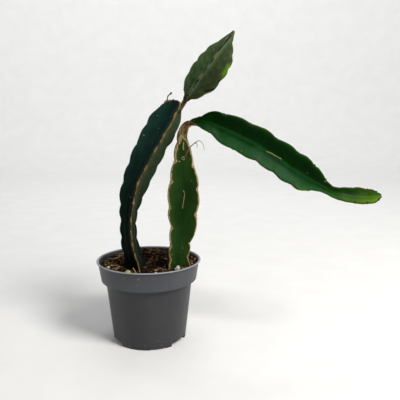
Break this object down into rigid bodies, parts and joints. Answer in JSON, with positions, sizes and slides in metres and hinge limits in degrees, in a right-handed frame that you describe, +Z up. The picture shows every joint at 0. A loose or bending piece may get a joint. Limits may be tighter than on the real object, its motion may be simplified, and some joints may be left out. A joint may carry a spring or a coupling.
{
  "type": "potted dragon fruit cactus",
  "caption": "Dragon fruit cactus with winged, wavy-edged stems standing in a grey nursery pot, one stem with an upright shoot and the other with a long drooping branch.",
  "frame": {"origin": "centre of the pot's underside, on the surface that the pot stands on", "axes": "+Z up along the pot's axis, +X towards the drooping branch, -Y towards the viewer of the picture"},
  "size_m": [0.3143, 0.12, 0.3501],
  "materials": {
    "pot": "satin moulded polypropylene, slate grey, with fine specks of dirt",
    "soil": "loose dark potting mix of fibre, bark and crumbs",
    "left_stem": "dark blue-green waxy skin with tan corky margins",
    "left_shoot": "dusty mid green skin with a brown midrib",
    "right_stem": "deep green waxy skin with tan corky margins",
    "right_branch": "smooth dark green skin with thin reddish margins",
    "branch_tip": "fresh yellow-green young skin",
    "dry_root": "dry reddish brown root",
    "cork": "dry brown cork",
    "leaf_scrap": "wilted pale green scrap",
    "straw": "dry straw",
    "perlite": "chalky white porous grain",
    "bark": "rough brown bark"
  },
  "bodies": {
    "root": {"pot": "pot", "soil": "soil", "left_stem": "left_stem", "left_shoot": "left_shoot", "right_stem": "right_stem", "right_branch": "right_branch", "branch_tip": "branch_tip", "aerial_root": "dry_root", "dried_spur": "cork", "leaf_scrap": "leaf_scrap", "straw": "straw", "perlite_1": "perlite", "perlite_2": "perlite", "perlite_3": "perlite", "perlite_4": "perlite", "perlite_5": "perlite", "perlite_6": "perlite", "bark_chip_1": "bark", "bark_chip_2": "bark", "bark_chip_3": "bark", "bark_chip_4": "bark"}
  },
  "joints": []
}
